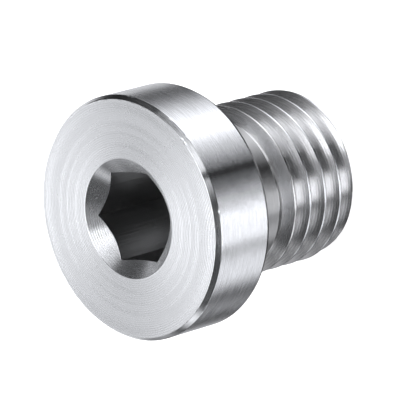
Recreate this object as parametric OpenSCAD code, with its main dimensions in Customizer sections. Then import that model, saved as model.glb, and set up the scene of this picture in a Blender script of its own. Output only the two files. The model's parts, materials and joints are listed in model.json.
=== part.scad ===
// Hexagon socket screw plug with a collar, turned from one bar of steel.
// It stands on the thread's end, with its axis along +Z and the socket facing up.
// The origin is the centre of the end face.

/* [Collar] */
// Diameter of the collar
collar_d = 17; // [15:0.5:24]
// Thickness of the collar, from its face to its sealing side
collar_h = 5; // [3.5:0.25:8]
// Width of the bevel round the face, measured across the face
face_bevel_w = 0.25; // [0.1:0.05:0.8]
// Height of the bevel round the face, measured down the rim
face_bevel_h = 0.35; // [0.1:0.05:0.8]
// Width of the edge break round the sealing side, measured across it
seal_bevel_w = 0.12; // [0.06:0.02:0.5]
// Height of the edge break round the sealing side, measured up the rim
seal_bevel_h = 0.25; // [0.1:0.05:0.8]

/* [Socket] */
// Width across flats of the key that turns the plug
key_af = 6; // [5:0.5:6.5]
// How much wider than its key the socket is
key_clearance = 0.05; // [0.02:0.01:0.1]
// Depth of the hexagon below the face
socket_depth = 7; // [4:0.25:9]
// Diameter of the countersink at the face
countersink_d = 8.33; // [8:0.05:10]
// Included angle of the countersink
countersink_angle = 100; // [80:1:120]
// Included angle of the point left by the pilot drill
drill_point_angle = 118; // [90:1:140]

/* [Shank] */
// Length of the shank under the collar
shank_l = 12; // [10:0.5:20]
// Diameter of the plain neck between collar and thread
neck_d = 11; // [10.4:0.1:11.4]
// Length of the plain neck
neck_l = 4.2; // [3:0.1:5]
// Radius of the fillet between neck and collar
neck_fillet = 0.4; // [0.1:0.05:0.8]
// Size of the bevel round the end of the thread, at 45 degrees
end_bevel = 1.1; // [0.8:0.05:1.6]

/* [Thread] */
// Major diameter of the thread
thread_d = 12; // [11.6:0.1:12.8]
// Distance from one crest to the next
pitch = 1.5; // [1:0.25:1.5]
// Angle between the two flanks of the groove
flank_angle = 60; // [55:1:60]
// Width of the crest, as a share of the pitch
crest_share = 0.125; // [0.1:0.005:0.2]
// Radius of the root, as a share of the pitch
root_share = 0.144; // [0.1:0.004:0.148]
// How far the middle of the full groove runs past the shoulder into the neck
overrun = 0.3; // [0.1:0.05:1]
// Turn over which the groove then grows shallow and ends
run_out_turn = 90; // [45:5:180]
// Turn of the whole thread about the axis
thread_turn = 327; // [0:1:359]

/* [Hidden] */
$fn = 96;

turned_steel = [0.78, 0.79, 0.81];

collar_r = collar_d / 2;
total_l = shank_l + collar_h;
socket_r = (key_af + key_clearance) / 2;
hexagon_sides = 6;
// Cutters stand this far out of the surface that they open
cut_clear = 1;

neck_r = neck_d / 2;
thread_r = thread_d / 2;
// The shoulder falls away at 45 degrees from the crests to the neck
shoulder_top = shank_l - neck_l;
shoulder_h = thread_r - neck_r;

// The groove has a rounded root between two straight flanks
flank_lean = flank_angle / 2;
root_r = root_share * pitch;
crest_w = crest_share * pitch;
groove_half_w = (pitch - crest_w) / 2;
// Depth at which the two flanks would meet, if the root were sharp
sharp_depth = groove_half_w / tan(flank_lean);
groove_depth = sharp_depth - root_r / sin(flank_lean) + root_r;
// The cutter stands out past the crests by half of what the next turn leaves free
groove_clear = crest_w / 4 / tan(flank_lean);
root_arcs = 4;
flats_per_turn = 60;

// Outline of the groove: distances from the axis, and heights from the groove's middle.
function root_point(a) =
    [thread_r - groove_depth + root_r * (1 - cos(a)), root_r * sin(a)];

function groove_outline() =
    let (
        turn = 90 - flank_lean,
        mouth_r = thread_r + groove_clear,
        mouth_half_w = groove_half_w + groove_clear * tan(flank_lean)
    )
    concat(
        [[mouth_r, -mouth_half_w]],
        [for (i = [0 : root_arcs]) root_point(turn * (2 * i / root_arcs - 1))],
        [[mouth_r, mouth_half_w]]
    );

// The outline at one place on the helix, moved out from the axis by lift.
function groove_ring(outline, turn, height, lift) =
    [for (p = outline)
        [(p[0] + lift) * cos(turn), (p[0] + lift) * sin(turn), height + p[1]]];

// How far the tool is drawn out of the groove after the full thread ends.
function tool_lift(turn_past) =
    (groove_depth + groove_clear) * max(0, turn_past) / run_out_turn;

// The cutter of the thread: the outline swept up a right-hand helix.
module thread_groove() {
    outline = groove_outline();
    sides = len(outline);
    low = -1.5 * pitch;
    full_turn = (shoulder_top + overrun - low) / pitch * 360;
    flat_turn = 360 / flats_per_turn;
    steps = ceil((full_turn + run_out_turn) / flat_turn);
    points = [for (i = [0 : steps])
        let (turn = i * flat_turn)
        each groove_ring(
            outline,
            turn + low / pitch * 360,
            low + turn / 360 * pitch,
            tool_lift(turn - full_turn)
        )];
    walls = [for (i = [0 : steps - 1], j = [0 : sides - 1])
        let (a = i * sides + j, b = i * sides + (j + 1) % sides)
        each [[a, a + sides, b], [b, a + sides, b + sides]]];
    start_cap = [for (j = [0 : sides - 1]) j];
    end_cap = [for (j = [0 : sides - 1]) (steps + 1) * sides - 1 - j];
    rotate(thread_turn)
        polyhedron(points, concat([start_cap], walls, [end_cap]), convexity = 10);
}

// The plug's section before the thread and the socket are cut, from the axis outwards.
module blank_section() {
    polygon([
        [0, 0],
        [thread_r - end_bevel, 0],
        [thread_r, end_bevel],
        [thread_r, shoulder_top - shoulder_h],
        [neck_r, shoulder_top],
        [neck_r, shank_l],
        [collar_r - seal_bevel_w, shank_l],
        [collar_r, shank_l + seal_bevel_h],
        [collar_r, total_l - face_bevel_h],
        [collar_r - face_bevel_w, total_l],
        [0, total_l]
    ]);
    translate([neck_r, shank_l])
        fillet_section();
}

// What fills the corner under the collar, with the corner at the origin.
module fillet_section() {
    difference() {
        translate([0, -neck_fillet])
            square(neck_fillet);
        translate([neck_fillet, -neck_fillet])
            circle(neck_fillet);
    }
}

// The cutter of the socket: the broached hexagon, the drill's point and the countersink.
module socket() {
    floor_z = total_l - socket_depth;
    point_h = socket_r / tan(drill_point_angle / 2);
    sink_slope = tan(countersink_angle / 2);
    sink_h = countersink_d / 2 / sink_slope;
    translate([0, 0, floor_z])
        cylinder(r = socket_r / cos(30), h = socket_depth + cut_clear, $fn = hexagon_sides);
    translate([0, 0, floor_z - point_h])
        cylinder(r1 = 0, r2 = socket_r, h = point_h);
    translate([0, 0, total_l - sink_h])
        cylinder(r1 = 0, r2 = (sink_h + cut_clear) * sink_slope, h = sink_h + cut_clear);
}

module plug() {
    color(turned_steel)
        difference() {
            rotate_extrude()
                blank_section();
            thread_groove();
            socket();
        }
}

plug();
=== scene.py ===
# %% [markdown]
# # A hexagon socket screw plug, turned from steel
#
# This is a small plug that closes a threaded port. One bar of steel was turned to a collar, a
# neck and a shank, then drilled, broached for a six-sided key and threaded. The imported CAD
# model gives the sizes. This file gives the plug the fine edges, tool marks and reflections
# that a camera sees, and the studio round it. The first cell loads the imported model, which
# stands on its threaded end at the origin, with its axis along Z, and its list of mounts, the
# places where other parts meet it.

import json
import math

import bmesh
import bpy
import numpy as np
from mathutils import Matrix, Vector

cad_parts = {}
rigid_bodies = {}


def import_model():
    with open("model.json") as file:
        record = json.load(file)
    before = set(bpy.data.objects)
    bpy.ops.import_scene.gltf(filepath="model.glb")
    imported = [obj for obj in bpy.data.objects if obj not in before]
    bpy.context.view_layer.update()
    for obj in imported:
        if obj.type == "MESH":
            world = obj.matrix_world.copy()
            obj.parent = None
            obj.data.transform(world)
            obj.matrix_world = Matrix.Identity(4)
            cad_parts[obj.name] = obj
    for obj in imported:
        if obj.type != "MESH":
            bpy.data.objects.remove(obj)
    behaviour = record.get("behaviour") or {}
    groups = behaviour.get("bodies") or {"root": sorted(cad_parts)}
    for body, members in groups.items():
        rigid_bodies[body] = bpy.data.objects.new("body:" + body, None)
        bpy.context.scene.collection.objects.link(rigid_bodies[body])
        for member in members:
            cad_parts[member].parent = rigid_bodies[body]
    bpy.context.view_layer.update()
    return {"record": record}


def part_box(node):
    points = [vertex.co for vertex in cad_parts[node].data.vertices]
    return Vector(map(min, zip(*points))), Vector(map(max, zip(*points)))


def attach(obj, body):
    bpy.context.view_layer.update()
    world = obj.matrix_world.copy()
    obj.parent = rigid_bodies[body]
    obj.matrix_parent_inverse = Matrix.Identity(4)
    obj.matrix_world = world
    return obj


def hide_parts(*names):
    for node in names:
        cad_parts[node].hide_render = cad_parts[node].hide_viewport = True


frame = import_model()
plug_low, plug_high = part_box("plug")
mounts = {mount["name"]: mount for mount in frame["record"]["mounts"]}
MM = 0.001
print("the plug reaches from", tuple(plug_low), "to", tuple(plug_high))
print("mounts:", ", ".join(mounts))

# %% [markdown]
# ## The camera
#
# The photograph looks down on the socket at 43 degrees and is taken with a long lens, which
# keeps the circles from swelling towards the viewer. The plug lies across the picture, so the
# camera is rolled until the axis points to the lower left. Its place and its axes come from
# fitting the collar's circles and the hexagon's corners to the photograph. A camera can be aimed
# with a constraint, but three fixed axes hold the roll exactly and need no helper object. The
# lights are placed by their angle from the camera's side, so that angle is named here too.

# %% Camera
CAMERA_AZIMUTH = 12.74
CAMERA_PLACE = Vector((242.385, 55.161, 246.043)) * MM
camera_right = Vector((0.70623, -0.11333, -0.69885))
camera_up = Vector((-0.03456, 0.98040, -0.19392))
camera_back = camera_right.cross(camera_up).normalized()
camera_up = camera_back.cross(camera_right).normalized()

camera = bpy.data.objects.new("camera", bpy.data.cameras.new("camera"))
camera.data.sensor_width = 36
camera.data.lens = 450
camera.data.clip_start = 0.01
axes = Matrix((camera_right.normalized(), camera_up, camera_back)).transposed()
camera.matrix_world = Matrix.Translation(CAMERA_PLACE) @ axes.to_4x4()
bpy.context.scene.collection.objects.link(camera)
bpy.context.scene.camera = camera
print("camera", round(CAMERA_PLACE.length / MM), "mm from the origin, lens", camera.data.lens, "mm")

# %% [markdown]
# ## Two small helpers
#
# Every material, the world and the thread are node trees. One function adds a node, sets its
# options and fills its inputs, and a value that is itself a socket becomes a link. A second
# function turns a hex colour, which is written for the screen, into the linear numbers that
# shaders add and multiply.

# %% Helpers for node trees and colours
def node(tree, kind, inputs=None, **options):
    made = tree.nodes.new(kind)
    for name, value in options.items():
        setattr(made, name, value)
    for key, value in (inputs or {}).items():
        if isinstance(value, bpy.types.NodeSocket):
            tree.links.new(value, made.inputs[key])
        else:
            made.inputs[key].default_value = value
    return made


def linear(code):
    screen = [int(code[i : i + 2], 16) / 255 for i in (1, 3, 5)]
    return [c / 12.92 if c <= 0.04045 else ((c + 0.055) / 1.055) ** 2.4 for c in screen]


print("mid grey #808080 is", round(linear("#808080")[0], 3), "in linear light")

# %% [markdown]
# ## The studio
#
# Bare steel has almost no colour of its own: it shows what stands round it. A studio lights
# such a part with large white softboxes and sets black cards between them, and each band on
# the collar is the mirror image of one. The dark band across collar and thread is the gap in
# which the camera stands, darkest where its lens is. Here the boxes and cards are soft-edged
# patches of the world, placed by direction. Azimuth counts from the camera's side, positive
# towards the top of the picture, and elevation counts from the horizon. Lamps or glowing planes
# would do as well, but patches give clean reflections with little noise.

# %% Softboxes and cards in the world
# name: azimuth, half width, edge; elevation, half height, edge, in degrees; strength
SOFTBOXES = {
    "key above": (54, 46, 35, 84, 18, 26, 4.00),
    "top light": (41, 89, 54, 86, 25, 68, 0.67),
    "upper panel": (44, 34, 35, 33, 8, 14, 2.33),
    "low front box": (-24, 23, 45, -54, 11, 14, 3.60),
    "front strip": (-30, 15, 14, -10, 21, 14, 2.12),
    "low side panel": (-73, 17, 20, -26, 24, 14, 1.12),
    "low upper box": (66, 19, 80, -23, 30, 14, 2.25),
    "side strip": (-109, 7, 18, -2, 33, 25, 1.15),
    "wall behind": (200, 31, 17, 39, 57, 23, 0.38),
    "wall behind, high": (-169, 21, 31, 72, 21, 26, 1.60),
    "wall behind, middle": (160, 14, 26, 23, 18, 23, 1.18),
    "wall behind, low": (173, 32, 20, -19, 39, 22, 0.84),
    "table below": (0, 200, 10, -90, 15, 8, 2.00),
}
# The strength of a card is the share of the light that it takes away.
CARDS = {
    "camera gap": (16, 13, 16, 0, 60, 14, 0.28),
    "lens": (18.3, 3.5, 2, -6, 60, 14, 0.92),
    "dark flag": (132, 49, 4, 3, 11, 4, 0.86),
    "card under the front": (5, 52, 9, -71, 21, 5, 0.99),
}
# The dim rest of the room
BASE_LIGHT = 0.071

world = bpy.data.worlds.new("studio")
bpy.context.scene.world = world
world.use_nodes = True
studio = world.node_tree
studio.nodes.clear()
direction = node(studio, "ShaderNodeTexCoord").outputs["Generated"]
parts = node(studio, "ShaderNodeSeparateXYZ", {"Vector": direction}).outputs
y_and_x = {0: parts["Y"], 1: parts["X"]}
azimuth = node(studio, "ShaderNodeMath", y_and_x, operation="ARCTAN2").outputs[0]
elevation = node(studio, "ShaderNodeMath", {0: parts["Z"]}, operation="ARCSINE").outputs[0]


def patch(centre_a, half_a, edge_a, centre_e, half_e, edge_e, strength):
    """A soft-edged rectangle of directions, with strength inside and nothing outside."""
    turn, rise = math.radians(CAMERA_AZIMUTH + centre_a), math.radians(centre_e)
    off_a = node(studio, "ShaderNodeMath", {0: azimuth, 1: turn}, operation="SUBTRACT").outputs[0]
    half_turn = {0: off_a, 1: math.pi, 2: -math.pi}
    off_a = node(studio, "ShaderNodeMath", half_turn, operation="WRAP").outputs[0]
    off_e = node(studio, "ShaderNodeMath", {0: elevation, 1: rise}, operation="SUBTRACT").outputs[0]
    inside = strength
    for off, half, edge in ((off_a, half_a, edge_a), (off_e, half_e, edge_e)):
        size = node(studio, "ShaderNodeMath", {0: off}, operation="ABSOLUTE").outputs[0]
        start, end = math.radians(half - edge / 2), math.radians(half + edge / 2)
        fade = {0: size, 1: start, 2: end, 3: 1.0, 4: 0.0}
        share = node(studio, "ShaderNodeMapRange", fade, interpolation_type="SMOOTHSTEP").outputs[0]
        inside = node(studio, "ShaderNodeMath", {0: share, 1: inside}, operation="MULTIPLY").outputs[0]
    return inside


light = BASE_LIGHT
for box in SOFTBOXES.values():
    light = node(studio, "ShaderNodeMath", {0: patch(*box), 1: light}, operation="ADD").outputs[0]
for card in CARDS.values():
    left = node(studio, "ShaderNodeMath", {0: 1.0, 1: patch(*card)}, operation="SUBTRACT").outputs[0]
    light = node(studio, "ShaderNodeMath", {0: light, 1: left}, operation="MULTIPLY").outputs[0]
glow = node(studio, "ShaderNodeBackground", {"Color": (*linear("#FBFCFF"), 1), "Strength": light})
node(studio, "ShaderNodeOutputWorld", {"Surface": glow.outputs[0]})
print(len(SOFTBOXES), "softboxes and", len(CARDS), "cards, in", len(studio.nodes), "nodes")

# %% [markdown]
# ## Floor and tent
#
# The plug stands on a plain white table in a white tent. Both are overexposed, as in a
# catalogue picture, so the plug stands out against clear white. A lamp above lights the table,
# and the steel doesn't mirror it. Table and tent are kept out of the reflections too, because
# there the softboxes do the work.

# %% Floor, tent and the lamp that lights the floor
def plain_white(name, glow_strength, albedo):
    made = bpy.data.materials.new(name)
    made.use_nodes = True
    shader = made.node_tree.nodes["Principled BSDF"]
    shader.inputs["Base Color"].default_value = (albedo, albedo, albedo, 1)
    shader.inputs["Roughness"].default_value = 0.9
    shader.inputs["Emission Color"].default_value = (1, 1, 1, 1)
    shader.inputs["Emission Strength"].default_value = glow_strength
    return made


def stage_mesh(name, radius, material, dome):
    shape = bmesh.new()
    if dome:
        bmesh.ops.create_uvsphere(shape, u_segments=48, v_segments=24, radius=radius)
        bmesh.ops.reverse_faces(shape, faces=shape.faces)
    else:
        bmesh.ops.create_circle(shape, cap_ends=True, segments=96, radius=radius)
    mesh = bpy.data.meshes.new(name)
    shape.to_mesh(mesh)
    shape.free()
    mesh.materials.append(material)
    made = bpy.data.objects.new(name, mesh)
    bpy.context.scene.collection.objects.link(made)
    made.visible_glossy = False
    made.visible_shadow = False
    made.visible_diffuse = False
    return made


white_table = plain_white("white table", glow_strength=0.85, albedo=0.8)
white_tent = plain_white("white tent", glow_strength=1.0, albedo=0.0)
floor = stage_mesh("floor", 1.4, white_table, dome=False)
tent = stage_mesh("tent", 1.5, white_tent, dome=True)

lamp = bpy.data.objects.new("table_lamp", bpy.data.lights.new("table_lamp", "AREA"))
lamp.data.shape = "DISK"
lamp.data.size = 0.5
lamp.data.energy = 1.5
LAMP_PLACE = Vector((-0.1, 0.1, 0.6))
lamp.location = LAMP_PLACE
lamp.rotation_euler = LAMP_PLACE.to_track_quat("Z", "Y").to_euler()
lamp.visible_glossy = False
lamp.visible_camera = False
bpy.context.scene.collection.objects.link(lamp)
bpy.context.scene.view_settings.view_transform = "Standard"
print("floor", floor.dimensions[0], "m across, tent", tent.dimensions[0], "m")

# %% [markdown]
# ## Steel, as each tool left it
#
# The whole plug is one steel, so one recipe makes every finish: metallic, light grey, with the
# default IOR. What differs is the tool, and in three places a darker tone that is painted shade:
# the neck under the collar, the bevel on the sealing side and the socket's walls. A lathe tool
# leaves a shallow groove for each turn of the bar, and its sides tilt the surface a few degrees
# either way. Light spreads across such grooves far more than along them, which the shader's
# anisotropy adds for the grooves that are too fine to draw. It is turned a quarter, because its
# tangent runs round the axis as the grooves do. The grooves are a sine wave of the length along
# the section, in millimetres, which the mesh keeps in an attribute, so they keep their spacing on
# every slope and follow the thread. A pixel of the picture is 0.07 mm wide, so marks that are
# finer than two pixels on the real plug are drawn that coarse. Fine streaks run round the axis
# with them. A picture of scratches could be wrapped round instead, but it would stretch on the
# face and blur close up.

# %% Steel finishes
SECTION_LENGTH = "section_mm"
# Marks of a broach are this much denser across the axis than along it.
DRAWN_DENSITY = (1, 1, 0.03)
# Streaks to a radian round the axis, in X and Y, and to a millimetre along the section.
STREAK_DENSITY = (6, 6, 5)
SWELLS_PER_MM = 1.4
CLOUD_MM = 0.8
# How far the roughness strays from its mean.
GLOSS_SWING = 0.03


def steel(name, tone, roughness, spread, feed, depth, scratch, streaks=0.08, drawn=False):
    """Feed of the tool, depth of its grooves and depth of random scratches are in mm.

    Spread is the shader's anisotropy, and streaks is how much they darken or brighten the tone.
    """
    made = bpy.data.materials.new(name)
    made.use_nodes = True
    tree = made.node_tree
    shader = tree.nodes["Principled BSDF"]
    place = node(tree, "ShaderNodeTexCoord").outputs["Object"]
    if drawn:
        # A broach is pulled along the axis, so its marks are long in Z.
        drawn_out = {0: place, 1: DRAWN_DENSITY}
        spot = node(tree, "ShaderNodeVectorMath", drawn_out, operation="MULTIPLY").outputs[0]
        fine = {"Vector": spot, "Scale": 1 / (feed * MM), "Detail": 2.0}
        marks = node(tree, "ShaderNodeTexNoise", fine).outputs[0]
        grooves = 0.0
    else:
        along = node(tree, "ShaderNodeAttribute", attribute_name=SECTION_LENGTH).outputs["Fac"]
        turn = {0: along, 1: 2 * math.pi / feed}
        turns = node(tree, "ShaderNodeMath", turn, operation="MULTIPLY").outputs[0]
        wave = node(tree, "ShaderNodeMath", {0: turns}, operation="SINE").outputs[0]
        # The tool doesn't press evenly, so the grooves swell and fade every millimetre or so.
        press = {"W": along, "Scale": SWELLS_PER_MM, "Detail": 2.0}
        swell = node(tree, "ShaderNodeTexNoise", press, noise_dimensions="1D").outputs[0]
        shallow, deep = 0.2 * depth * MM, depth * MM
        swing = {0: swell, 1: 0.35, 2: 0.65, 3: shallow, 4: deep}
        swell = node(tree, "ShaderNodeMapRange", swing).outputs[0]
        grooves = node(tree, "ShaderNodeMath", {0: wave, 1: swell}, operation="MULTIPLY").outputs[0]
        # Streaks are short across the grooves and reach up to ten degrees round the axis.
        flat = {0: place, 1: (1, 1, 0)}
        outwards = node(tree, "ShaderNodeVectorMath", flat, operation="MULTIPLY").outputs[0]
        outwards = node(tree, "ShaderNodeVectorMath", {0: outwards}, operation="NORMALIZE").outputs[0]
        spot = node(tree, "ShaderNodeCombineXYZ", {"Z": along}).outputs[0]
        spot = node(tree, "ShaderNodeVectorMath", {0: outwards, 1: spot}, operation="ADD").outputs[0]
        long_streaks = {0: spot, 1: STREAK_DENSITY}
        spot = node(tree, "ShaderNodeVectorMath", long_streaks, operation="MULTIPLY").outputs[0]
        fine = {"Vector": spot, "Scale": 1.0, "Detail": 4.0, "Roughness": 0.7}
        marks = node(tree, "ShaderNodeTexNoise", fine).outputs[0]
    relief = {0: marks, 1: scratch * MM, 2: grooves}
    height = node(tree, "ShaderNodeMath", relief, operation="MULTIPLY_ADD").outputs[0]
    bump = node(tree, "ShaderNodeBump", {"Height": height, "Strength": 1.0, "Distance": 1.0})
    # Handling leaves soft clouds, under a millimetre wide, that are a little duller or glossier.
    wide = {"Vector": place, "Scale": 1 / (CLOUD_MM * MM), "Detail": 3.0}
    clouds = node(tree, "ShaderNodeTexNoise", wide).outputs[0]
    uneven = node(tree, "ShaderNodeMath", {0: clouds, 1: marks}, operation="ADD").outputs[0]
    least, most = roughness - GLOSS_SWING, roughness + GLOSS_SWING
    gloss = node(tree, "ShaderNodeMapRange", {0: uneven, 1: 0.6, 2: 1.4, 3: least, 4: most})
    darker, brighter = 1.0 - streaks, 1.0 + streaks
    tones = {0: marks, 1: 0.3, 2: 0.7, 3: darker, 4: brighter}
    streaked = node(tree, "ShaderNodeMapRange", tones).outputs[0]
    metal = {0: linear(tone), "Scale": streaked}
    colour = node(tree, "ShaderNodeVectorMath", metal, operation="SCALE")
    tangent = node(tree, "ShaderNodeTangent", direction_type="RADIAL", axis="Z")
    made_of = {"Normal": bump, "Roughness": gloss, "Base Color": colour, "Tangent": tangent}
    for shader_input, source in made_of.items():
        tree.links.new(source.outputs[0], shader.inputs[shader_input])
    shader.inputs["Metallic"].default_value = 1.0
    shader.inputs["Anisotropic"].default_value = spread
    shader.inputs["Anisotropic Rotation"].default_value = 0.25
    return made


# material, colour, roughness, spread, feed, depth of grooves, depth of scratches
FINISHES = {
    # Faced on the lathe at 0.15 mm a turn, its true feed: fine rings that show where the light
    # falls off.
    "faced": steel("faced steel", "#F1F2F4", 0.26, 0.60, 0.15, 0.0034, 0.001, streaks=0.015),
    # Turned fine, then polished with a belt: long reflections along the axis. The real marks are
    # finer than a pixel, so they are drawn at 0.18 mm.
    "turned": steel("turned steel", "#ECEDF0", 0.20, 1.00, 0.18, 0.0012, 0.010),
    # Cut with a countersink, which chatters a little and leaves coarser rings.
    "sunk": steel("countersunk steel", "#E3E4E6", 0.26, 1.00, 0.16, 0.0024, 0.004, streaks=0.04),
    # The edge of the face, broken with one light touch of the tool: almost a mirror.
    "broken": steel("edge-broken steel", "#E3E4E6", 0.17, 0.85, 0.16, 0.0010, 0.004),
    # Thread cut with a tool that follows the helix, in several passes.
    "threaded": steel("threaded steel", "#E2E2E3", 0.23, 0.85, 0.16, 0.0016, 0.004),
    # The neck, plunged with a blunt grooving tool: rough across the grooves, and given a darker grey tone
    # that is painted shade, the collar's shadow on the neck.
    "necked": steel("plunged steel", "#B0B0B1", 0.30, 0.85, 0.20, 0.0030, 0.010),
    # The edge on the sealing side, filed by hand: dull, and dark in tone, which is painted shade along
    # the collar's back edge.
    "deburred": steel("deburred steel", "#424244", 0.30, 0.50, 0.16, 0.0010, 0.010),
    # Broached hexagon: drawn marks along the axis, and a darker tone that is painted shade inside the
    # socket.
    "broached": steel("broached steel", "#8C8C8C", 0.36, 0.0, 0.12, 0.0, 0.015, streaks=0.04, drawn=True),
}
SLOTS = list(FINISHES)
print("finishes:", ", ".join(SLOTS))

# %% [markdown]
# ## The turned section
#
# A lathe makes a shape from its section, so the visible body is built the same way: a list of
# places, each a distance from the axis and a height, swept round in 360 columns. The main sizes
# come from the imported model's mounts, in millimetres. No real edge is perfectly sharp, and the
# thin bright line along an edge is light caught by its tiny radius, so every corner gets a short
# curve. Two more points on either side keep the smooth shading of the curve off the flat next
# to it. A Bevel modifier could do it, but here the section says exactly where.

# %% Section of the collar and the neck
COLUMNS = 360
COLLAR_R = mounts["collar_rim"]["dims"]["r_mm"]
COLLAR_TOP = round(mounts["collar_face"]["pos_m"][2] / MM, 3)
COLLAR_UNDER = round(mounts["seal_face"]["pos_m"][2] / MM, 3)
HEX_HALF = mounts["hex_socket"]["dims"]["r_mm"]
THREAD_R = mounts["thread"]["dims"]["r_mm"]
SHOULDER = mounts["thread"]["dims"]["length_mm"]
FACE_BEVEL_W, FACE_BEVEL_H = 0.25, 0.35
SEAL_BEVEL_W, SEAL_BEVEL_H = 0.12, 0.25
FILLET, EDGE_RADIUS = 0.4, 0.025
NECK_R, END_R, PITCH = 5.5, 4.9, 1.5
SINK_R, SOCKET_FLOOR = 4.165, 10.05
SINK_ANGLE, DRILL_ANGLE = 100, 118
SINK_SLOPE = 1 / math.tan(math.radians(SINK_ANGLE / 2))
DRILL_SLOPE = 1 / math.tan(math.radians(DRILL_ANGLE / 2))
# The countersink's rows stay round for this width, and then turn into the hexagon's.
ROUND_WIDTH = 0.4
ROUND_R = SINK_R - ROUND_WIDTH
ROUND_Z = COLLAR_TOP - ROUND_WIDTH * SINK_SLOPE
# Here the thread's surface hands over to the swept neck.
THREAD_TOP = 9.2
# How far the support points lie from a corner, in lengths of its curve.
SUPPORTS = (1.8, 6)
# The largest shares of a side that a curve and a support point may take.
CURVE_SHARE, SUPPORT_SHARE = 0.25, 0.4


def rounded(corners, radius, steps=3):
    """Replaces each inner corner by a short curve. A corner is (r, z, finish of what follows)."""
    line = [corners[0]]
    for before, corner, after in zip(corners, corners[1:], corners[2:]):
        here = Vector(corner[:2])
        back, ahead = Vector(before[:2]) - here, Vector(after[:2]) - here
        reach = min(radius, back.length * CURVE_SHARE, ahead.length * CURVE_SHARE)
        start, end = here + back.normalized() * reach, here + ahead.normalized() * reach
        for away in reversed(SUPPORTS):
            support = here + back.normalized() * min(reach * away, back.length * SUPPORT_SHARE)
            line.append((*support, before[2]))
        for i in range(steps + 1):
            t = i / steps
            point = start * (1 - t) ** 2 + here * 2 * t * (1 - t) + end * t**2
            line.append((*point, before[2] if t < 0.5 else corner[2]))
        for away in SUPPORTS:
            support = here + ahead.normalized() * min(reach * away, ahead.length * SUPPORT_SHARE)
            line.append((*support, corner[2]))
    line.append(corners[-1])
    return line


fillet = [
    (NECK_R + FILLET * (1 - math.cos(a)), COLLAR_UNDER - FILLET * (1 - math.sin(a)), "necked")
    for a in np.radians(np.linspace(0, 90, 7))
]
collar = rounded(
    [
        (NECK_R + FILLET, COLLAR_UNDER, "faced"),
        (COLLAR_R - SEAL_BEVEL_W, COLLAR_UNDER, "deburred"),
        (COLLAR_R, COLLAR_UNDER + SEAL_BEVEL_H, "turned"),
        (COLLAR_R, COLLAR_TOP - FACE_BEVEL_H, "broken"),
        (COLLAR_R - FACE_BEVEL_W, COLLAR_TOP, "faced"),
        (SINK_R, COLLAR_TOP, "sunk"),
        (ROUND_R, ROUND_Z, "sunk"),
    ],
    radius=EDGE_RADIUS,
)
section = [(NECK_R, THREAD_TOP, "necked")] + fillet[:-1] + collar
print("the section has", len(section), "places")

# %% [markdown]
# ## The hexagon socket
#
# The countersink is a cone and the hexagon is a prism, so they meet in six arcs that dip at the
# corners. Each column knows how far the hexagon's wall is from the axis at its own angle. The
# cone's rows slide from a circle to that wall, and the wall's rows go straight down. Columns
# lie exactly on the six corners, which keeps those edges straight and sharp. Under the hexagon
# a drill left a shallow cone. A boolean cut of a prism would be shorter to write, but it leaves
# faces of all sizes round the mouth, where the light shows every one.

# %% Rows of the socket
angles = np.arange(COLUMNS) / COLUMNS * 2 * math.pi
wall_r = HEX_HALF / np.cos(angles % (math.pi / 3) - math.pi / 6)
wall_top = COLLAR_TOP - (SINK_R - wall_r) * SINK_SLOPE
# Width of the curve where the countersink meets the walls
LIP = 0.03

rows = [(np.full(COLUMNS, r), np.full(COLUMNS, z), finish) for r, z, finish in section]
for share in (0.4, 0.7, 0.9):
    r = ROUND_R * (1 - share) + (wall_r + LIP) * share
    rows.append((r, wall_top + (r - wall_r) * SINK_SLOPE, "sunk"))
for t in np.linspace(0, 1, 4):
    out = LIP * (1 - t) ** 2
    finish = "sunk" if t < 0.5 else "broached"
    rows.append((wall_r + out, wall_top + out * SINK_SLOPE - LIP * t**2, finish))
for share in (0.012, 0.2, 0.5, 0.8, 1.0):
    rows.append((wall_r, wall_top * (1 - share) + SOCKET_FLOOR * share, "broached"))
for r in (HEX_HALF, 2.0, 1.0, 0.2):
    z = SOCKET_FLOOR - (HEX_HALF - r) * DRILL_SLOPE
    rows.append((np.full(COLUMNS, r), np.full(COLUMNS, z), "sunk"))
socket_tip = SOCKET_FLOOR - HEX_HALF * DRILL_SLOPE
print("with the socket, the body has", len(rows), "rows of", COLUMNS)

# %% [markdown]
# ## Small marks of use
#
# The rim of a loose part knocks against its neighbours in the box. That leaves tiny flats on the
# collar's front edge, which flash white in the light. They are cut into the rows themselves, up
# to two hundredths of a millimetre deep, at places from a seeded random generator. Bump could
# draw them, but marks in the geometry catch the light from every side, as real ones do.

# %% Nicks along the front edge of the collar
chance = np.random.default_rng(4862)
NICK_DEPTH = 0.02
# Rows this close to an edge are worn with it.
NEAR_EDGE = 0.03


def nicks(count):
    """Depth of wear at each column, in mm."""
    worn = np.zeros(COLUMNS)
    centres = chance.uniform(0, COLUMNS, count)
    widths = chance.uniform(0.5, 1.2, count)
    shares = chance.uniform(0.3, 1, count)
    for centre, width, share in zip(centres, widths, shares):
        away = np.abs((np.arange(COLUMNS) - centre + COLUMNS / 2) % COLUMNS - COLUMNS / 2)
        worn = np.maximum(worn, NICK_DEPTH * share * np.exp(-((away / width) ** 2)))
    return worn


# A knock on the rim's edge goes mostly inwards, and one on the face's edge mostly down.
edge_wear, face_wear = nicks(20), nicks(30)
for i, (r, z, finish) in enumerate(rows):
    on_rim_edge = r[0] > COLLAR_R - 0.3 and abs(z[0] - (COLLAR_TOP - FACE_BEVEL_H)) < NEAR_EDGE
    on_face_edge = abs(r[0] - (COLLAR_R - FACE_BEVEL_W)) < NEAR_EDGE and z[0] > COLLAR_TOP - NEAR_EDGE
    if on_rim_edge:
        rows[i] = (r - edge_wear, z - edge_wear * 0.3, finish)
    elif on_face_edge:
        rows[i] = (r - face_wear * 0.4, z - face_wear, finish)
print("deepest nick", round(float(edge_wear.max()), 3), "mm")

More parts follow.
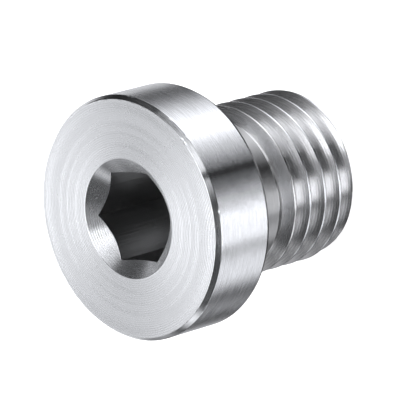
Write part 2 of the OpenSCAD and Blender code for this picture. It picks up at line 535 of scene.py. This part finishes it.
# %% [markdown]
# ## From rows to a surface
#
# Neighbouring rows are joined by quads, and the last row runs to a point on the axis. Each
# vertex also keeps how far along the section it lies, for the tool marks. The end face is a
# second, short run of rows. Both runs leave an open ring where the thread will join. A Screw
# modifier could sweep the section too, but it makes only round rows, and the hexagon's aren't.

# %% Mesh of the collar, socket and end face
def surface(rows, tip_height):
    """Points, faces, and the finish of each face and section length of each point."""
    rows = rows + [(np.zeros(COLUMNS), np.full(COLUMNS, tip_height), rows[-1][2])]
    r, z = np.array([row[0] for row in rows]), np.array([row[1] for row in rows])
    steps = np.hypot(np.diff(r, axis=0), np.diff(z, axis=0))
    lengths = np.vstack([np.zeros(COLUMNS), np.cumsum(steps, axis=0)])
    points = np.stack([r * np.cos(angles), r * np.sin(angles), z], axis=2).reshape(-1, 3)
    faces, slots = [], []
    for i in range(len(rows) - 1):
        for j in range(COLUMNS):
            k = (j + 1) % COLUMNS
            here, next_row = i * COLUMNS, (i + 1) * COLUMNS
            faces.append((here + j, here + k, next_row + k, next_row + j))
            slots.append(SLOTS.index(rows[i][2]))
    return points, faces, slots, lengths.ravel()


END_RINGS = (END_R, 4.86, 3.5, 2.0, 0.8, 0.1)
end_rows = [(np.full(COLUMNS, r), np.zeros(COLUMNS), "faced") for r in END_RINGS]
upper, end = surface(rows, socket_tip), surface(end_rows, 0.0)
points = np.vstack([upper[0], end[0]]) * MM
faces = upper[1] + [tuple(i + len(upper[0]) for i in face) for face in end[1]]
body_mesh = bpy.data.meshes.new("turned body")
body_mesh.from_pydata(points.tolist(), [], faces)
body_mesh.polygons.foreach_set("material_index", upper[2] + end[2])
section_length = body_mesh.attributes.new(SECTION_LENGTH, "FLOAT", "POINT")
section_length.data.foreach_set("value", np.concatenate([upper[3], end[3]]).astype(np.float32))
for finish in FINISHES.values():
    body_mesh.materials.append(finish)
print("body:", len(body_mesh.vertices), "vertices,", len(body_mesh.polygons), "faces")

# %% [markdown]
# ## The thread, as a Geometry Nodes tree
#
# An M12 x 1.5 thread is one groove wound round the shank, and it is right-handed: seen from the
# side, it climbs to the right. A cutter could be swept along a helix and cut away, as in the
# CAD model, but a boolean leaves long thin faces that reflect badly. Instead the tree bends a
# flat grid round the axis. One side of the grid is the angle, the other climbs along the helix,
# so its rows follow the crests and every edge stays clean. The height decides the radius: a
# crest, a flank at 60 degrees to the axis, or the rounded root. The bevel at the end and the
# shoulder at the neck only ever make the radius smaller, so each is a minimum. Over the last
# quarter turn the tool is drawn out, and the groove grows shallow and ends in the neck.

# %% Inputs of the thread tree
tree = bpy.data.node_groups.new("helical thread", "GeometryNodeTree")
tree.interface.new_socket("Body", in_out="INPUT", socket_type="NodeSocketGeometry")
tree.interface.new_socket("Plug", in_out="OUTPUT", socket_type="NodeSocketGeometry")
THREAD_SIZES = {
    "Major Radius": THREAD_R * MM,
    "Pitch": PITCH * MM,
    "Crest Half Width": 0.094 * MM,
    "Root Radius At": 5.06 * MM,
    "Neck Radius": NECK_R * MM,
    "End Radius": END_R * MM,
    "Shoulder Height": SHOULDER * MM,
    "Top Height": THREAD_TOP * MM,
    "First Crest": 0.8875 * MM,
    "Full Groove To": 8.1 * MM,
    "Full Crest To": 6.3 * MM,
    "Crest Rounding": 0.06 * MM,
    "Root Rounding": 0.35 * MM,
}
COUNTS = {"Columns": COLUMNS + 1, "Rows Per Turn": 24, "Turns": 8}
TOOLS = {"Thread Finish": "threaded", "Crest Finish": "turned", "Neck Finish": "necked"}
identifiers = {}
for name, value in {**THREAD_SIZES, **COUNTS}.items():
    kind = "NodeSocketInt" if name in COUNTS else "NodeSocketFloat"
    socket = tree.interface.new_socket(name, in_out="INPUT", socket_type=kind)
    socket.default_value = value
    identifiers[name] = socket.identifier
for name in TOOLS:
    socket = tree.interface.new_socket(name, in_out="INPUT", socket_type="NodeSocketMaterial")
    identifiers[name] = socket.identifier
print("inputs:", ", ".join(identifiers))

# %% [markdown]
# The shape is a list of sums, and each line of the table names its result, its operation and
# what goes in. Lengths are in metres and angles in radians. `height` is where a row lies after
# it is kept between the end and the neck. `past crest` counts in turns, and gives the distances
# to the nearest crest and to the middle of the groove. Rows are squeezed towards the crests,
# where the shape turns quickest. The last lines say which tool cut each place. The thread's
# tool never touches a crest, so there the bar keeps its turned surface, and that is why crests
# shine as thin bright lines. The last crest, beside the neck, was dulled by the tool that cut
# the shoulder. Where the neck is the smaller radius, the neck's tool came last.

# %% The thread's shape
known = {socket.name: socket for socket in tree.nodes.new("NodeGroupInput").outputs}
FULL_TURN = 2 * math.pi
counted = {0: known["Rows Per Turn"], 1: known["Turns"], 2: 1.0}
row_count = node(tree, "ShaderNodeMath", counted, operation="MULTIPLY_ADD").outputs[0]
grid_sizes = {"Size X": FULL_TURN, "Vertices X": known["Columns"]}
grid_sizes.update({"Size Y": known["Turns"], "Vertices Y": row_count})
grid = node(tree, "GeometryNodeMeshGrid", grid_sizes).outputs["Mesh"]
position = node(tree, "GeometryNodeInputPosition").outputs[0]
spot = node(tree, "ShaderNodeSeparateXYZ", {"Vector": position})
known["grid x"], known["grid y"] = spot.outputs["X"], spot.outputs["Y"]

# How strongly rows crowd at the crests.
SQUEEZE = 0.569
# The grid starts this many turns below the first crest, and its surplus is folded onto the end.
TURNS_BELOW = 2.0
# At the run-out the floor rises 0.97 mm in a quarter turn, in which the helix climbs 0.375 mm.
LIFT_PER_CLIMB = 0.97 / 0.375
# A flank goes down about this much for each step along the axis.
FLANK_STEEPNESS = 1.7
SUMS = [
    ("angle", "ADD", "grid x", math.pi),
    ("turned", "DIVIDE", "angle", FULL_TURN),
    ("climb", "MULTIPLY_ADD", "Turns", 0.5, "grid y"),
    ("wave", "SINE", ("climb", FULL_TURN)),
    ("squeezed", "MULTIPLY_ADD", "wave", -SQUEEZE / FULL_TURN, "climb"),
    ("from below", "SUBTRACT", "squeezed", TURNS_BELOW),
    ("row", "ADD", "from below", "turned"),
    ("free height", "MULTIPLY_ADD", "row", "Pitch", "First Crest"),
    ("height or end", "MAXIMUM", "free height", 0.0),
    ("height", "MINIMUM", "height or end", "Top Height"),
    ("over first", "SUBTRACT", "height", "First Crest"),
    ("over first, in turns", "DIVIDE", "over first", "Pitch"),
    ("past crest", "SUBTRACT", "over first, in turns", "turned"),
    ("to crest", "WRAP", "past crest", 0.5, -0.5),
    ("to crest, either way", "ABSOLUTE", "to crest"),
    ("off crest", "MULTIPLY", "to crest, either way", "Pitch"),
    ("to groove", "WRAP", "past crest", 1.0, 0.0),
    ("off groove", "MULTIPLY_ADD", "to groove", "Pitch", ("Pitch", -0.5)),
    ("down the flank", "SUBTRACT", "off crest", "Crest Half Width"),
    ("flank", "MULTIPLY_ADD", "down the flank", -math.tan(math.radians(60)), "Major Radius"),
    ("with root", "SMOOTH_MAX", "flank", "Root Radius At", "Root Rounding"),
    ("groove height", "SUBTRACT", "height", "off groove"),
    ("past full groove", "SUBTRACT", "groove height", "Full Groove To"),
    ("drawn out", "MAXIMUM", "past full groove", 0.0),
    ("lifted", "MULTIPLY_ADD", "drawn out", LIFT_PER_CLIMB, "with root"),
    ("with crest", "SMOOTH_MIN", "lifted", "Major Radius", "Crest Rounding"),
    ("end bevel", "ADD", "End Radius", "height"),
    ("thread", "MINIMUM", "with crest", "end bevel"),
    ("under shoulder", "SUBTRACT", "Shoulder Height", "height"),
    ("shoulder", "MAXIMUM", "under shoulder", 0.0),
    ("neck", "ADD", "Neck Radius", "shoulder"),
    ("radius", "MINIMUM", "thread", "neck"),
    ("cosine", "COSINE", "angle"),
    ("sine", "SINE", "angle"),
    ("x", "MULTIPLY", "radius", "cosine"),
    ("y", "MULTIPLY", "radius", "sine"),
    ("in the neck", "LESS_THAN", "neck", "thread"),
    ("in the thread", "SUBTRACT", 1.0, "in the neck"),
    ("near a crest", "LESS_THAN", "off crest", "Crest Half Width"),
    ("in full thread", "LESS_THAN", "height", "Full Crest To"),
    ("on a crest", "MULTIPLY", "near a crest", "in full thread"),
    ("length up the neck, mm", "MULTIPLY", "height", ("in the neck", 1 / MM)),
    ("way down the flank, mm", "MULTIPLY", "off crest", ("in the thread", FLANK_STEEPNESS / MM)),
    ("section length, mm", "ADD", "length up the neck, mm", "way down the flank, mm"),
]
for result, operation, *operands in SUMS:
    inputs = {}
    for i, operand in enumerate(operands):
        if isinstance(operand, tuple):
            scaled = {0: known[operand[0]], 1: operand[1]}
            operand = node(tree, "ShaderNodeMath", scaled, operation="MULTIPLY").outputs[0]
        inputs[i] = known[operand] if isinstance(operand, str) else operand
    known[result] = node(tree, "ShaderNodeMath", inputs, operation=operation, label=result).outputs[0]
print("the shape takes", len(SUMS), "sums")

# %% [markdown]
# The rest of the tree moves the grid's points to that radius, notes the way down the flank for
# the tool marks, and joins the thread to the body, whose rings lie on the same points. The body
# comes in as the object's own mesh.

# %% The thread's surface, joined to the body
bent_to = {"X": known["x"], "Y": known["y"], "Z": known["height"]}
bent = node(tree, "ShaderNodeCombineXYZ", bent_to).outputs[0]
note = {"Geometry": grid, "Name": SECTION_LENGTH, "Value": known["section length, mm"]}
marked = node(tree, "GeometryNodeStoreNamedAttribute", note).outputs[0]
CUT_BY = {"in the thread": "Thread Finish", "on a crest": "Crest Finish"}
per_face = {"data_type": "BOOLEAN", "domain": "FACE"}
for name in CUT_BY:
    note = {"Geometry": marked, "Name": name, "Value": known[name]}
    marked = node(tree, "GeometryNodeStoreNamedAttribute", note, **per_face).outputs[0]
wound = node(tree, "GeometryNodeSetPosition", {"Geometry": marked, "Position": bent}).outputs[0]
coat = {"Geometry": wound, "Material": known["Neck Finish"]}
necked = node(tree, "GeometryNodeSetMaterial", coat).outputs[0]
joined = node(tree, "GeometryNodeJoinGeometry", {"Geometry": necked})
tree.links.new(known["Body"], joined.inputs[0])
close_together = {"Geometry": joined.outputs[0], "Distance": 0.003 * MM}
closed = node(tree, "GeometryNodeMergeByDistance", close_together).outputs[0]
finished = node(tree, "GeometryNodeRealizeInstances", {"Geometry": closed}).outputs[0]
for name, finish in CUT_BY.items():
    chosen = node(tree, "GeometryNodeInputNamedAttribute", {"Name": name}, data_type="BOOLEAN")
    coat = {"Geometry": finished, "Selection": chosen.outputs[0], "Material": known[finish]}
    finished = node(tree, "GeometryNodeSetMaterial", coat).outputs[0]
node(tree, "NodeGroupOutput", {0: finished})
print("thread tree:", len(tree.nodes), "nodes")

# %% [markdown]
# The tree runs on the body as a modifier. Its inputs are set by their identifiers before the
# object is first evaluated, and the result is copied to a plain mesh. The grid began without a
# material, so an empty slot is left over, which goes.

# %% Wind the thread
body = bpy.data.objects.new("turned body", body_mesh)
bpy.context.scene.collection.objects.link(body)
modifier = body.modifiers.new("thread", "NODES")
modifier.node_group = tree
finishes = {name: FINISHES[finish] for name, finish in TOOLS.items()}
for name, value in {**THREAD_SIZES, **COUNTS, **finishes}.items():
    modifier[identifiers[name]] = value
evaluated = body.evaluated_get(bpy.context.evaluated_depsgraph_get())
plug_mesh = bpy.data.meshes.new_from_object(evaluated)
body.modifiers.remove(modifier)
bpy.data.objects.remove(body)
plug_mesh.name = "steel_plug"
for i in reversed([i for i, m in enumerate(plug_mesh.materials) if m is None]):
    plug_mesh.materials.pop(index=i)
print("plug:", len(plug_mesh.vertices), "vertices,", len(plug_mesh.polygons), "faces")

# %% [markdown]
# ## One closed plug
#
# The plug is one piece of steel, so its mesh has to be closed: two faces meet at every edge,
# which is counted here. Faces that shrank to nothing at the thread's ends are dissolved, and the
# normals are made to point outwards. Smooth shading with sharp edges kept above 28 degrees
# leaves the hexagon's corners crisp. The notes on which tool cut what have done their work.

# %% Clean and smooth
NO_LENGTH = 1e-7
SHARP_ANGLE = 28
whole = bmesh.new()
whole.from_mesh(plug_mesh)
bmesh.ops.dissolve_degenerate(whole, edges=whole.edges, dist=NO_LENGTH)
bmesh.ops.recalc_face_normals(whole, faces=whole.faces)
open_edges = sum(len(edge.link_faces) != 2 for edge in whole.edges)
volume = whole.calc_volume() / MM**3
whole.to_mesh(plug_mesh)
whole.free()
for name in CUT_BY:
    plug_mesh.attributes.remove(plug_mesh.attributes[name])
plug_mesh.shade_smooth()
plug_mesh.set_sharp_from_angle(angle=math.radians(SHARP_ANGLE))
steel_plug = bpy.data.objects.new("steel_plug", plug_mesh)
bpy.context.scene.collection.objects.link(steel_plug)
triangles = sum(len(polygon.vertices) - 2 for polygon in plug_mesh.polygons)
print("plug:", triangles, "triangles,", open_edges, "open edges,", round(volume, 1), "mm3")
used = np.zeros(len(plug_mesh.polygons), dtype=np.int32)
plug_mesh.polygons.foreach_get("material_index", used)
faces_of = {m.name: int((used == i).sum()) for i, m in enumerate(plug_mesh.materials)}
print("faces of each finish:", faces_of)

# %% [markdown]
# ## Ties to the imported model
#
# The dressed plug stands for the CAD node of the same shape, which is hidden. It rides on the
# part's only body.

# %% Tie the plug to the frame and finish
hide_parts("plug")
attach(steel_plug, "root")
